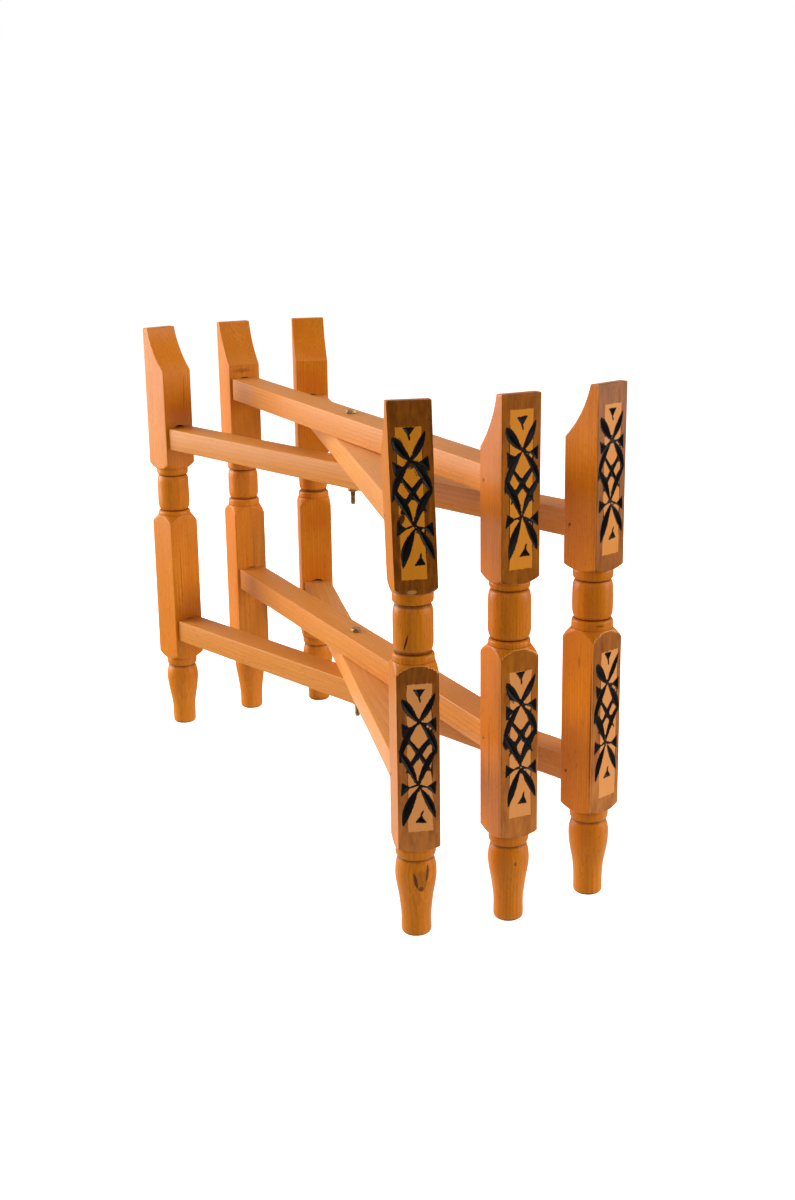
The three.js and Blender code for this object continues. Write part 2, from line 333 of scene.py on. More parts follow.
def distance_to(points, outline):
    """Distance of each point to a closed outline."""
    nearest = np.full(len(points), 1e9)
    for a, b in zip(outline, np.roll(outline, -1, axis=0)):
        edge = b - a
        t = np.clip(((points - a) @ edge) / max(edge @ edge, 1e-9), 0, 1)
        nearest = np.minimum(nearest, np.linalg.norm(points - a - t[:, None] * edge, axis=1))
    return nearest


# ---- putting meshes together

INK_EDGE = 2.0      # value of "ink" on a cut's outline; it rises inwards, and 0 is bare wood
STAIN_EDGE = 4.0    # value of "stain" on the panel's edge; it rises outwards, and 0 is bare wood


class Shape:
    """A mesh being put together: points, faces and three values for each point."""

    def __init__(self):
        self.points = []
        self.faces = []
        self.values = {"ink": [], "stain": [], "recess": []}

    def add(self, point, ink=0.0, stain=0.0, recess=0.0):
        self.points.append(tuple(point))
        for name, value in (("ink", ink), ("stain", stain), ("recess", recess)):
            self.values[name].append(float(value))
        return len(self.points) - 1

    def mesh(self, name):
        mesh = bpy.data.meshes.new(name)
        points = [(x * MM, y * MM, z * MM) for x, y, z in self.points]
        mesh.from_pydata(points, [], self.faces)
        for key, values in self.values.items():
            mesh.attributes.new(key, "FLOAT", "POINT").data.foreach_set("value", values)
        mesh.update()
        return mesh


def join_rows(shape, rows):
    """Four-cornered faces between each closed row of points and the next."""
    for low, high in zip(rows, rows[1:]):
        for j in range(len(low)):
            k = (j + 1) % len(low)
            corners = (low[j], low[k], high[k], high[j])
            if None not in corners:
                shape.faces.append(corners)


def loft(shape, rings, values):
    """Joins rings of points into a closed skin, leaving out the places that values marks None."""
    ids = []
    for ring, row in zip(rings, values):
        ids.append([None if v is None else shape.add(p, **v) for p, v in zip(ring, row)])
    join_rows(shape, ids)
    shape.faces.append(tuple(reversed(ids[0])))
    shape.faces.append(tuple(ids[-1]))
    return ids


def link_object(name, data):
    linked = bpy.data.objects.new(name, data)
    bpy.context.scene.collection.objects.link(linked)
    return linked


def finish_mesh(name, mesh):
    """An object from a mesh, smooth but for its sharp lines."""
    for polygon in mesh.polygons:
        polygon.use_smooth = True
    mesh.set_sharp_from_angle(angle=SHARP)
    return link_object(name, mesh)


def settle(piece, node, body, material, matrix):
    """Gives a finished piece its material, place and body, and hides the CAD node that it stands for.
    """
    piece.data.materials.clear()
    piece.data.materials.append(material)
    piece.matrix_world = matrix
    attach(piece, body)
    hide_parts(node)


def boolean(piece, cutters, operation="DIFFERENCE"):
    """Cuts or joins closed meshes, and drops the cutters."""
    for cutter in cutters:
        modifier = piece.modifiers.new("cut", "BOOLEAN")
        modifier.operation = operation
        modifier.solver = "MANIFOLD"
        modifier.object = cutter
    graph = bpy.context.evaluated_depsgraph_get()
    done = bpy.data.meshes.new_from_object(piece.evaluated_get(graph))
    piece.modifiers.clear()
    piece.data = done
    done.set_sharp_from_angle(angle=SHARP)
    for cutter in cutters:
        bpy.data.objects.remove(cutter)


def plain_solid(name, make, matrix, recess, **settings):
    """A closed solid, to cut or to join with."""
    mesh = bpy.data.meshes.new(name)
    build = bmesh.new()
    make(build, **settings)
    build.transform(matrix)
    build.to_mesh(mesh)
    build.free()
    # faces that this solid cuts or adds carry this much painted shade
    if recess:
        shade = mesh.attributes.new("recess", "FLOAT", "POINT")
        shade.data.foreach_set("value", [recess] * len(mesh.vertices))
    return finish_mesh(name, mesh)


def rod(name, radius, start, end, segments=48):
    """A cylinder between two points. What it bores gets painted shade."""
    a = Vector(start)
    b = Vector(end)
    spin = (b - a).to_track_quat("Z", "Y").to_matrix().to_4x4()
    return plain_solid(name, bmesh.ops.create_cone, Matrix.Translation((a + b) / 2 * MM) @ spin, 1.0,
                       cap_ends=True, segments=segments, radius1=radius * MM, radius2=radius * MM,
                       depth=(b - a).length * MM)


def block(name, centre, size):
    scale = Matrix.Diagonal((size[0] * MM, size[1] * MM, size[2] * MM, 1))
    matrix = Matrix.Translation(Vector(centre) * MM) @ scale
    return plain_solid(name, bmesh.ops.create_cube, matrix, 0.0, size=1)


# ---- legs

# Where each panel's carving and its light rectangle lie. The carving: across, height of the
# diamond's middle, stretch, lean, and looseness. The rectangle: low and high, across then up.
PANELS = {
    "high_right": (((0.0, 426.5, 0.98, 0.0, 0.7), ((-11.5, 349.5), (12.0, 494.0))),
                   ((0.0, 190.0, 1.0, 0.005, 0.9), ((-10.5, 110.0), (12.5, 253.0)))),
    "mid_right": (((-1.0, 425.5, 0.95, -0.02, 0.8), ((-13.0, 349.0), (10.0, 485.0))),
                  ((-1.0, 184.5, 1.0, 0.02, 0.7), ((-10.5, 109.5), (13.0, 252.0)))),
    "low_right": (((-1.0, 426.0, 0.95, 0.0, 0.6), ((-10.5, 348.0), (12.0, 489.0))),
                  ((-0.6, 190.5, 0.98, 0.01, 0.6), ((-8.5, 105.5), (14.5, 253.0)))),
    "high_left": (((-0.5, 426.0, 0.97, 0.01, 0.7), ((-11.0, 349.0), (12.5, 491.0))),
                  ((-0.5, 189.0, 1.0, 0.0, 0.7), ((-10.5, 108.0), (12.5, 253.0)))),
    "mid_left": (((-0.5, 425.0, 0.97, -0.01, 0.7), ((-12.0, 349.0), (11.5, 490.0))),
                 ((-0.6, 188.0, 1.0, 0.01, 0.7), ((-11.0, 108.0), (12.0, 253.0)))),
    "low_left": (((-0.8, 426.0, 0.96, 0.0, 0.7), ((-11.0, 348.0), (12.0, 490.0))),
                 ((-0.5, 189.5, 0.99, 0.01, 0.7), ((-10.0, 107.0), (13.0, 253.0)))),
}
FILL_STEP = 2.4     # spacing of the loose points on a carved face


def rectangle_distance(points, low, high):
    """Distance out of a rectangle: negative inside it."""
    middle = (np.array(low) + np.array(high)) / 2
    size = (np.array(high) - np.array(low)) / 2
    over = np.abs(points - middle) - size
    outer = np.linalg.norm(np.maximum(over, 0), axis=1)
    return outer + np.minimum(over.max(axis=1), 0)


def carved_plate(shape, border, place, rectangle, rng):
    """Fills a rectangular opening in a leg's outer face with its chip-carved surface. border
    lists the opening's points as (index, across, up), anticlockwise seen from outside."""
    cuts = carving(place, rng)
    coords = [Vector((b[1], b[2])) for b in border]
    edges = []

    def chain(points, closed):
        first = len(coords)
        coords.extend(Vector(p) for p in points)
        ends = len(points) if closed else len(points) - 1
        edges.extend((first + k, first + (k + 1) % len(points)) for k in range(ends))

    for outline, valleys in cuts:
        chain(outline, True)
        for valley in valleys:
            chain(valley, False)
    (x0, z0), (x1, z1) = rectangle
    chain([(x0, z0), (x1, z0), (x1, z1), (x0, z1)], True)
    low = np.array([[b[1], b[2]] for b in border]).min(axis=0)
    high = np.array([[b[1], b[2]] for b in border]).max(axis=0)
    for x in np.arange(low[0] + FILL_STEP / 2, high[0] - 0.5, FILL_STEP):
        for z in np.arange(low[1] + FILL_STEP / 2, high[1] - 0.5, FILL_STEP):
            coords.append(Vector((x + rng.uniform(-0.5, 0.5), z + rng.uniform(-0.5, 0.5))))
    outline_face = [list(range(len(border)))]
    result = delaunay_2d_cdt(coords, edges, outline_face, 1, 1e-4)
    flat = np.array([list(p) for p in result[0]])
    depth = np.zeros(len(flat))
    signed = np.full(len(flat), -INK_EDGE)
    for outline, _ in cuts:
        away = distance_to(flat, outline)
        within = inside(flat, outline)
        depth = np.maximum(depth, np.where(within, away * WALL_SLOPE, 0))
        signed = np.maximum(signed, np.where(within, away, -away))
    stain = rectangle_distance(flat, *rectangle)
    ids = []
    for k, sources in enumerate(result[3]):
        known = [s for s in sources if s < len(border)]
        if known:
            ids.append(border[known[0]][0])
            continue
        ids.append(shape.add((HALF - depth[k], flat[k][0], flat[k][1]),
                             ink=signed[k] + INK_EDGE,
                             stain=min(max(stain[k], 1 - STAIN_EDGE), STAIN_EDGE) + STAIN_EDGE))
    for triangle in result[2]:
        corners = tuple(ids[k] for k in triangle)
        if len(set(corners)) == 3:
            shape.faces.append(corners)


def leg_mesh(key):
    """The whole of one leg but its bored holes, in its own axes: X outwards, Z up."""
    neck = NECKS[key]
    rng = random.Random("carving " + key)
    upper_plate = (neck[3] + SHOULDER + 3, HEIGHT - 2.5)
    lower_plate = (LOWER_BLOCK_Z + 14, neck[0] - 4)
    plates = [lower_plate, upper_plate]
    rows = leg_rows(neck, plates)
    square = square_columns()
    reach = np.linalg.norm(square, axis=1)
    columns = len(square)
    face = range(FACE_STEPS + 1)
    wobble = [rng.uniform(0, 2 * math.pi) for _ in range(3)]
    rings = []
    values = []
    for z, radius in rows:
        unevenness = 0.12 * math.sin(z / 9 + wobble[0]) + 0.08 * math.sin(z / 4.1 + wobble[1])
        limit = radius if radius > 28 else radius + unevenness
        scale = soft_min(reach, np.full(columns, limit), 0.7) / reach if radius < WIDE else 1
        ring = square * np.reshape(scale, (-1, 1))
        rings.append(placed_ring(ring, z, 0.0))
        values.append(row_values(z, radius, reach, plates, neck))
    for k in range(1, TOP_STEPS + 1):
        angle = math.pi / 2 * k / TOP_STEPS
        inset = TOP_ROUNDING * (1 - math.cos(angle))
        z = HEIGHT - TOP_ROUNDING * (1 - math.sin(angle))
        rings.append(placed_ring(square, z, inset))
        values.append(row_values(z, WIDE, reach, plates, neck))
    shape = Shape()
    ids = loft(shape, rings, values)
    heights = [z for z, _ in rows]
    for (low, high), (place, rectangle) in zip(plates, reversed(PANELS[key])):
        first = int(np.argmin(np.abs(np.array(heights) - low)))
        last = int(np.argmin(np.abs(np.array(heights) - high)))
        border = [(ids[first][c], first, c) for c in face]
        border += [(ids[r][FACE_STEPS], r, FACE_STEPS) for r in range(first + 1, last)]
        border += [(ids[last][c], last, c) for c in reversed(face)]
        border += [(ids[r][0], r, 0) for r in range(last - 1, first, -1)]
        flat = [(i, shape.points[i][1], shape.points[i][2]) for i, _, _ in border]
        carved_plate(shape, flat, place, rectangle, rng)
    shape.points = [(x, y + lean_at(key, z), z) for x, y, z in shape.points]
    return shape.mesh("leg_" + key)


def placed_ring(ring, z, inset):
    """A cross-section at its height, squeezed in X where the scoop has taken the inner side."""
    low = -HALF if z <= SCOOP_END_Z else float(scoop_x(min(z, HEIGHT)))
    x = low + (ring[:, 0] + HALF) * (HALF - low) / LEG_SIDE
    middle = (low + HALF) / 2
    half = (HALF - low) / 2
    x = middle + (x - middle) * (half - inset) / half
    y = ring[:, 1] * (HALF - inset) / HALF
    return [(a, b, z) for a, b in zip(x, y)]


def row_values(z, radius, reach, plates, neck):
    """The point values of one row. None marks the points that a carved plate takes the place of.
    The stain covers the flat of the outer face, and the undersides of both blocks."""
    columns = len(reach)
    in_plate = any(low + 1e-6 < z < high - 1e-6 for low, high in plates)
    # painted shade in the lathe's narrow grooves above the foot, strongest where the wood is
    # narrowest
    recess = min(max(SHADED_GROOVE_RADIUS - radius, 0), 1) if z > FOOT_TOP_Z else 0
    under = any(start + 1.2 < z < start + SHOULDER + 4 for start in (LOWER_BLOCK_Z, neck[3]))
    row = []
    for column in range(columns):
        if in_plate and 0 < column < FACE_STEPS:
            row.append(None)
            continue
        past = min((column - FACE_STEPS) % columns, (0 - column) % columns)
        stain = 0.0
        if radius > 21 and (under or radius > reach[column] + 0.3):
            on_face = column <= FACE_STEPS
            stain = 2 * STAIN_EDGE if on_face else max(0.0, 2 * STAIN_EDGE - 2.2 * past)
        row.append({"stain": stain, "recess": recess})
    return row


def frame_matrix(turn, out=0.0, up=0.0):
    return Matrix.Rotation(turn, 4, "Z") @ Matrix.Translation((out * MM, 0, up * MM))


def add_leg(frame_name, side, material):
    node = f"{frame_name}_leg_{side}"
    mesh = leg_mesh(f"{frame_name}_{side}")
    piece = finish_mesh(node + "_turned", mesh)
    cutters = []
    for level in LEVELS:
        rail_top = box_mm(f"{frame_name}_rail_{level}")[1].z
        z = rail_top + RISES.get(f"{frame_name}_{side}_{level}", MORTISE_RISE) - MORTISE_RADIUS
        cutters.append(rod("bore", MORTISE_RADIUS, (-HALF - 5, 0, z), (MORTISE_DEPTH - HALF, 0, z)))
        nail_z = rail_top - RAIL_HEIGHT / 2
        x = NAIL_INSET - HALF
        cutters.append(rod("hole", NAIL_HEAD + FIT_GAP, (x, -HALF - 5, nail_z), (x, 3, nail_z), 24))
    boolean(piece, cutters)
    place = frame_matrix(turn_of(frame_name, side), AXIS)
    settle(piece, node, f"{frame_name}_frame", material, place)


# ---- rails

RAIL_STEP = 8.0
RAIL_CORNER = 1.0
TENON_RADIUS = 10.7
BOLT_HOLE = 3.4


def rail_mesh(name, rng):
    """A planed bar along X with its top at Z = 0, its faces very slightly uneven."""
    half_y = RAIL_WIDTH / 2
    end = INNER - FIT_GAP
    section = []
    for cy, cz, start in ((1, 1, 0), (-1, 1, 1), (-1, -1, 2), (1, -1, 3)):
        for k in range(CORNER_STEPS + 1):
            angle = math.pi / 2 * (start + k / CORNER_STEPS)
            section.append((cy * (half_y - RAIL_CORNER) + RAIL_CORNER * math.cos(angle),
                            cz * (RAIL_HEIGHT / 2 - RAIL_CORNER) + RAIL_CORNER * math.sin(angle)))
    section = np.array(section)
    phase = [rng.uniform(0, 2 * math.pi) for _ in range(4)]
    shape = Shape()
    rings = []
    stations = [-end, 1.0 - end]
    stations += list(np.linspace(-end, end, round(2 * end / RAIL_STEP) + 1))[1:-1]
    stations += [end - 1.0, end]
    for x in stations:
        chamfer = 0.6 if abs(x) > end - 0.5 else 0.0
        wave = 0.12 * math.sin(x / 37 + phase[0]) + 0.08 * math.sin(x / 13 + phase[1])
        twist = 0.15 * math.sin(x / 61 + phase[2])
        shrink_y = (half_y - chamfer - 0.22 + wave) / half_y
        shrink_z = (RAIL_HEIGHT / 2 - chamfer) / (RAIL_HEIGHT / 2)
        ring = section * (shrink_y, shrink_z)
        rings.append([(x, y + twist * 0.5, z - RAIL_HEIGHT / 2) for y, z in ring])
    loft(shape, rings, [[{}] * len(section)] * len(rings))
    return shape.mesh(name)


def add_rail(frame_name, level, material, rng):
    node = f"{frame_name}_rail_{level}"
    top = box_mm(node)[1].z
    piece = finish_mesh(node + "_planed", rail_mesh(node, rng))
    joins = []
    cuts = []
    for side, sign in (("right", 1), ("left", -1)):
        tenon_z = RISES.get(f"{frame_name}_{side}_{level}", MORTISE_RISE) - MORTISE_RADIUS
        near = sign * (INNER - 6)
        far = sign * TENON_END
        joins.append(rod("tenon", TENON_RADIUS, (near, 0, tenon_z), (far, 0, tenon_z)))
        slab = Vector((sign * (INNER + TENON_END) / 2, 0, 10))
        cuts.append(block("flat", slab, (TENON_END - INNER + 20, 2 * RAIL_WIDTH, 20)))
        nail_x = sign * (INNER + NAIL_INSET)
        nail_end = sign * (HALF - NAIL_LENGTH - 1)
        cuts.append(rod("hole", NAIL_SHANK + FIT_GAP, (nail_x, -sign * RAIL_WIDTH, -RAIL_HEIGHT / 2),
                        (nail_x, -nail_end, -RAIL_HEIGHT / 2), 16))
    boolean(piece, joins, "UNION")
    cuts.append(rod("bolt_hole", BOLT_HOLE, (0, 0, -RAIL_HEIGHT - 5), (0, 0, 5), 32))
    boolean(piece, cuts)
    place = frame_matrix(turn_of(frame_name), 0, top)
    settle(piece, node, f"{frame_name}_frame", material, place)


# ---- bolts, washers, nuts, nails

BOLT_RADIUS = 3.0
BOLT_FLATS = 10.0
HEAD_HEIGHT = 4.0
NUT_CHAMFER = 0.9
THREAD_LENGTH = 26.0
THREAD_PITCH = 1.0
THREAD_DEPTH = 0.5
HEAD_TURNS = {"upper": math.radians(-24), "lower": math.radians(6)}
AROUND = 48
ANGLES = [2 * math.pi * k / AROUND for k in range(AROUND)]


def circle(radius):
    return [(radius * math.cos(angle), radius * math.sin(angle)) for angle in ANGLES]


def hexagon(flats, limit, softness=0.5):
    """A hexagon's outline with softened corners, no further out than limit."""
    points = []
    for angle in ANGLES:
        face = (angle + math.pi / 6) % (math.pi / 3) - math.pi / 6
        reach = float(soft_min(np.float64(flats / 2 / math.cos(face)), np.float64(limit), softness))
        points.append((reach * math.sin(angle), reach * math.cos(angle)))
    return points[::-1]


def revolve(name, sections):
    """A closed skin over (height, outline) sections, from the lowest up."""
    shape = Shape()
    rings = [[(x, y, z) for x, y in outline] for z, outline in sections]
    loft(shape, rings, [[{}] * len(rings[0])] * len(rings))
    return shape.mesh(name)


def bolt_mesh(name, length):
    """A hex bolt hanging from Z = 0, its last stretch threaded."""
    sections = [(-length, circle(BOLT_RADIUS - 0.9)), (-length + 0.15, circle(BOLT_RADIUS - 0.75))]
    steps = round((THREAD_LENGTH - 1.2) / THREAD_PITCH * 8)
    for k in range(steps + 1):
        z = -length + 0.8 + k * THREAD_PITCH / 8
        fade = min(1, (steps - k) / 10)
        start = min(1.0, k / 8)
        outline = []
        for k_around, angle in enumerate(ANGLES):
            turn = (z / THREAD_PITCH - k_around / AROUND) % 1
            valley = 1 - abs(2 * turn - 1)
            radius = BOLT_RADIUS - THREAD_DEPTH * fade * min(1, 1.25 * valley)
            radius = radius * start + (BOLT_RADIUS - 0.7) * (1 - start)
            outline.append((radius * math.cos(angle), radius * math.sin(angle)))
        sections.append((z, outline))
    sections.append((-1.0, circle(BOLT_RADIUS)))
    sections.append((0.0, circle(BOLT_RADIUS)))
    corner = BOLT_FLATS / math.sqrt(3)
    sections.append((0.0, hexagon(BOLT_FLATS - 0.5, corner)))
    sections.append((0.3, hexagon(BOLT_FLATS, corner)))
    sections.append((HEAD_HEIGHT - 1.1, hexagon(BOLT_FLATS, corner)))
    for share in (0.35, 0.7, 1.0):
        limit = corner - share * (corner - BOLT_FLATS / 2 + 0.3)
        sections.append((HEAD_HEIGHT - 1.1 + share * 0.95, hexagon(BOLT_FLATS, limit, 0.2)))
    sections.append((HEAD_HEIGHT, circle_like(BOLT_FLATS / 2 - 0.75)))
    return revolve(name, sections)


def circle_like(radius):
    """A circle whose points run as the hexagon's do."""
    return hexagon(10 * radius, radius, 0.01)


def ring_mesh(name, sections, bore):
    """A piece with a round bore: its outer sections from the lowest up, then the bore back down."""
    shape = Shape()
    inner = [(sections[k][0], circle_like(bore)) for k in (-1, 0)]
    ids = [[shape.add((x, y, z)) for x, y in outline] for z, outline in sections + inner]
    join_rows(shape, ids + ids[:1])
    return shape.mesh(name)


def nut_mesh(name, height):
    corner = BOLT_FLATS / math.sqrt(3)
    tight = BOLT_FLATS / 2 - 0.2
    sections = [(-height, circle_like(tight - 0.3)), (-height + 0.1, hexagon(BOLT_FLATS, tight, 0.2)),
                (-height + NUT_CHAMFER, hexagon(BOLT_FLATS, corner)),
                (-NUT_CHAMFER, hexagon(BOLT_FLATS, corner)),
                (-0.1, hexagon(BOLT_FLATS, tight, 0.2)), (0.0, circle_like(tight - 0.3))]
    return ring_mesh(name, sections, BOLT_RADIUS + 0.1)


def washer_mesh(name, height, radius):
    sections = [(-height, circle_like(radius - 0.25)), (-height + 0.25, circle_like(radius)),
                (-0.25, circle_like(radius)), (0.0, circle_like(radius - 0.25))]
    return ring_mesh(name, sections, BOLT_RADIUS + 0.3)


def nail_mesh(name):
    """A wire nail standing with its head up, its face a little domed."""
    head = NAIL_HEAD
    top = HALF + NAIL_PROUD
    sections = [(top - NAIL_LENGTH, circle(0.15)), (top - NAIL_LENGTH + 2.5, circle(NAIL_SHANK)),
                (top - 1.2, circle(NAIL_SHANK)), (top - 1.0, circle(head)),
                (top - 0.3, circle(head)), (top - 0.08, circle(head * 0.8)),
                (top, circle(head * 0.35))]
    return revolve(name, sections)


def add_hardware(steel):
    for level in LEVELS:
        for kind in ("bolt", "washer", "nut"):
            node = f"pivot_{kind}_{level}"
            low, high = box_mm(node)
            rest = high.z - HEAD_HEIGHT if kind == "bolt" else high.z
            if kind == "bolt":
                mesh = bolt_mesh(node + "_mesh", rest - low.z)
            elif kind == "washer":
                mesh = washer_mesh(node + "_mesh", high.z - low.z, (high.x - low.x) / 2)
            else:
                mesh = nut_mesh(node + "_mesh", high.z - low.z)
            place = frame_matrix(HEAD_TURNS[level] if kind == "bolt" else 0, 0, rest)
            piece = finish_mesh(node + "_turned", mesh)
            settle(piece, node, "high_frame", steel, place)


def add_nails(frame_name, side, iron):
    lay = Matrix.Rotation(math.pi / 2, 4, "X")
    for level in LEVELS:
        node = f"{frame_name}_nail_{level}_{side}"
        low, high = box_mm(node)
        z = (low.z + high.z) / 2
        place = frame_matrix(turn_of(frame_name, side), INNER + NAIL_INSET, z)
        shift = Matrix.Translation((0, lean_at(f"{frame_name}_{side}", z) * MM, 0))
        piece = finish_mesh(node + "_drawn", nail_mesh(node + "_mesh"))
        settle(piece, node, f"{frame_name}_frame", iron, place @ shift @ lay)


# ---- materials

class Nodes:
    """Short calls for building the node tree of a material or a world."""

    def __init__(self, owner, shader="Principled BSDF"):
        self.owner = owner
        owner.use_nodes = True
        self.tree = owner.node_tree
        self.shader = self.tree.nodes[shader]

    def add(self, kind, **settings):
        """A new node. Its kind is given without the word ShaderNode."""
        node = self.tree.nodes.new("ShaderNode" + kind)
        for key, value in settings.items():
            setattr(node, key, value)
        return node

    def feed(self, target, value):
        """Links an input to a socket, or sets it to a number or a colour."""
        if isinstance(value, bpy.types.NodeSocket):
            self.tree.links.new(value, target)
        else:
            target.default_value = value

    def fill(self, node, **values):
        """Feeds a node's inputs by name, with _ for a space."""
        for name, value in values.items():
            self.feed(node.inputs[name.replace("_", " ")], value)

    def math(self, operation, a, b):
        node = self.add("Math", operation=operation)
        self.feed(node.inputs[0], a)
        self.feed(node.inputs[1], b)
        return node.outputs[0]

    def times(self, a, b):
        return self.math("MULTIPLY", a, b)

    def plus(self, a, b):
        return self.math("ADD", a, b)

    def minus(self, a, b):
        return self.math("SUBTRACT", a, b)

    def mix(self, share, a, b, blend="MIX"):
        node = self.add("Mix", data_type="RGBA", blend_type=blend)
        for k, value in ((0, share), (6, a), (7, b)):
            self.feed(node.inputs[k], value)
        return node.outputs[2]

    def ramp(self, value, low, high, to_low=0.0, to_high=1.0, kind="SMOOTHSTEP"):
        node = self.add("MapRange", interpolation_type=kind)
        for k, number in enumerate((value, low, high, to_low, to_high)):
            self.feed(node.inputs[k], number)
        return node.outputs[0]

    def own(self):
        """The piece's own coordinates."""
        return self.add("TexCoord").outputs["Object"]

    def place(self, offset, scale):
        """The piece's own coordinates, moved and then stretched."""
        mapping = self.add("Mapping")
        self.fill(mapping, Vector=self.own(), Location=offset, Scale=scale)
        return mapping.outputs[0]

    def height_up(self):
        parts = self.add("SeparateXYZ")
        self.fill(parts, Vector=self.own())
        return parts.outputs["Z"]

    def distance_from(self, centre, size, tilt):
        """How far out of an ellipsoid each point is: 1 on its surface."""
        mapping = self.add("Mapping", vector_type="TEXTURE")
        self.fill(mapping, Vector=self.own(), Location=tuple(v * MM for v in centre),
                  Rotation=(math.radians(tilt), 0, 0), Scale=tuple(v * MM for v in size))
        length = self.add("VectorMath", operation="LENGTH")
        self.fill(length, Vector=mapping.outputs[0])
        return length.outputs["Value"]

    def noise(self, offset, scale, detail=3.0, rough=0.55):
        node = self.add("TexNoise")
        self.fill(node, Vector=self.place(offset, scale), Scale=1.0, Detail=detail, Roughness=rough)
        return node.outputs[0]

    def around_zero(self, noise, amount):
        return self.times(self.minus(noise, 0.5), amount)

    def attribute(self, name):
        return self.add("Attribute", attribute_name=name).outputs["Fac"]

    def finish(self, colour, roughness, height, distance, strength, **rest):
        """Feeds the shader, with a bump of the height given, and returns the material."""
        bump = self.add("Bump")
        self.fill(bump, Height=height, Distance=distance, Strength=strength)
        self.fill(self.shader, Base_Color=colour, Roughness=roughness, Normal=bump.outputs[0], **rest)
        return self.owner


def rgb(*channels):
    return (*channels, 1.0)


def along(axis, across_scale, along_scale):
    """Scales that stretch a pattern along the grain."""
    scale = [across_scale] * 3
    scale["XYZ".index(axis)] = along_scale
    return tuple(scale)


def wood_grain(nodes, axis, seed, light, dark, red, ring_weight):
    """Varnished wood: growth rings, fine streaks, short flecks and slow changes of tone. It gives
    the colour and a height for bump."""
    rng = random.Random(seed)
    offset = tuple(rng.uniform(-3, 3) for _ in range(3))
    pith = [rng.uniform(0.02, 0.05) * rng.choice((-1, 1)) for _ in range(3)]
    pith["XYZ".index(axis)] = 0.0
    warp = nodes.noise(offset, along(axis, 14, 2.2), 2.0)
    rings = nodes.add("TexWave", wave_type="RINGS", rings_direction=axis,
                      wave_profile="SAW")
    nodes.fill(rings, Vector=nodes.place(tuple(pith), along(axis, 1.0, 0.03)), Scale=95.0,
               Distortion=3.0, Detail=2.0, Detail_Scale=0.35, Phase_Offset=nodes.times(warp, 22.0))
    streaks = nodes.noise(offset, along(axis, 420, 9), 3.0, 0.6)
    fine = nodes.noise(offset, along(axis, 1500, 60), 2.0, 0.6)
    blotches = nodes.noise(offset, along(axis, 30, 10), 5.0, 0.62)
    flecks = nodes.ramp(nodes.noise(offset, along(axis, 1100, 170), 1.0), 0.63, 0.70)
    tone = nodes.times(rings.outputs["Fac"], ring_weight)
    tone = nodes.plus(tone, nodes.times(streaks, 0.5))
    tone = nodes.plus(tone, nodes.times(fine, 0.2))
    tone = nodes.ramp(tone, 0.25, 0.50 + ring_weight)
    colour = nodes.mix(tone, light, dark)
    colour = nodes.mix(nodes.ramp(blotches, 0.30, 0.66, 0.0, 0.8), colour, red)
    colour = nodes.mix(nodes.times(flecks, 0.35), colour, FLECK)
    height = nodes.plus(nodes.times(streaks, 0.5), nodes.times(fine, 0.5))
    height = nodes.minus(height, nodes.times(flecks, 0.5))
    return colour, height, offset


VARNISH = {"Specular_IOR_Level": 0.12, "Coat_Weight": 0.06, "Coat_Roughness": 0.25}
WOOD_BUMP = (0.00006, 0.6)      # distance in metres, strength

BACK_TONES = ((0.28, 0.080, 0.008), (0.72, 0.29, 0.06))
# Each leg's colours: light wood, dark wood, reddish blotches, stain, panel varnish.
LEG_TONES = {
    "high_right": ((0.60, 0.185, 0.006), (0.42, 0.108, 0.001), (0.46, 0.122, 0.002),
                   (0.32, 0.092, 0.003), (0.74, 0.28, 0.025)),
    "mid_right": ((0.60, 0.190, 0.006), (0.41, 0.108, 0.001), (0.47, 0.126, 0.002),
                  (0.165, 0.045, 0.002), (0.68, 0.26, 0.016)),
    "low_right": ((0.60, 0.185, 0.006), (0.42, 0.112, 0.001), (0.47, 0.126, 0.002),
                  (0.27, 0.078, 0.006), (0.74, 0.30, 0.060)),
    "high_left": ((0.64, 0.210, 0.020), (0.46, 0.125, 0.005), (0.52, 0.145, 0.008), *BACK_TONES),
    "mid_left": ((0.66, 0.220, 0.014), (0.48, 0.128, 0.003), (0.55, 0.145, 0.005), *BACK_TONES),
    "low_left": ((0.64, 0.210, 0.012), (0.46, 0.125, 0.002), (0.52, 0.142, 0.004), *BACK_TONES),
}
LOW_STAIN = rgb(0.52, 0.18, 0.040)     # the stain and the panels of the lower blocks are paler
LOW_PANEL = rgb(0.78, 0.35, 0.12)
THICK_STAIN = rgb(0.52, 0.46, 0.40)    # what stain is multiplied by where it lies thick
FLECK = rgb(0.13, 0.035, 0.006)
# the colour painted as shade in the lathe's grooves and in bored holes; in the grooves it also stands
# for pooled varnish
PAINTED_SHADE_COLOUR = rgb(0.050, 0.012, 0.001)
INK = rgb(0.003, 0.002, 0.0015)
KNOT = rgb(0.035, 0.010, 0.003)
PALE = rgb(0.50, 0.22, 0.07)
RUDDY = rgb(0.52, 0.105, 0.004)
GREY = rgb(0.16, 0.085, 0.030)

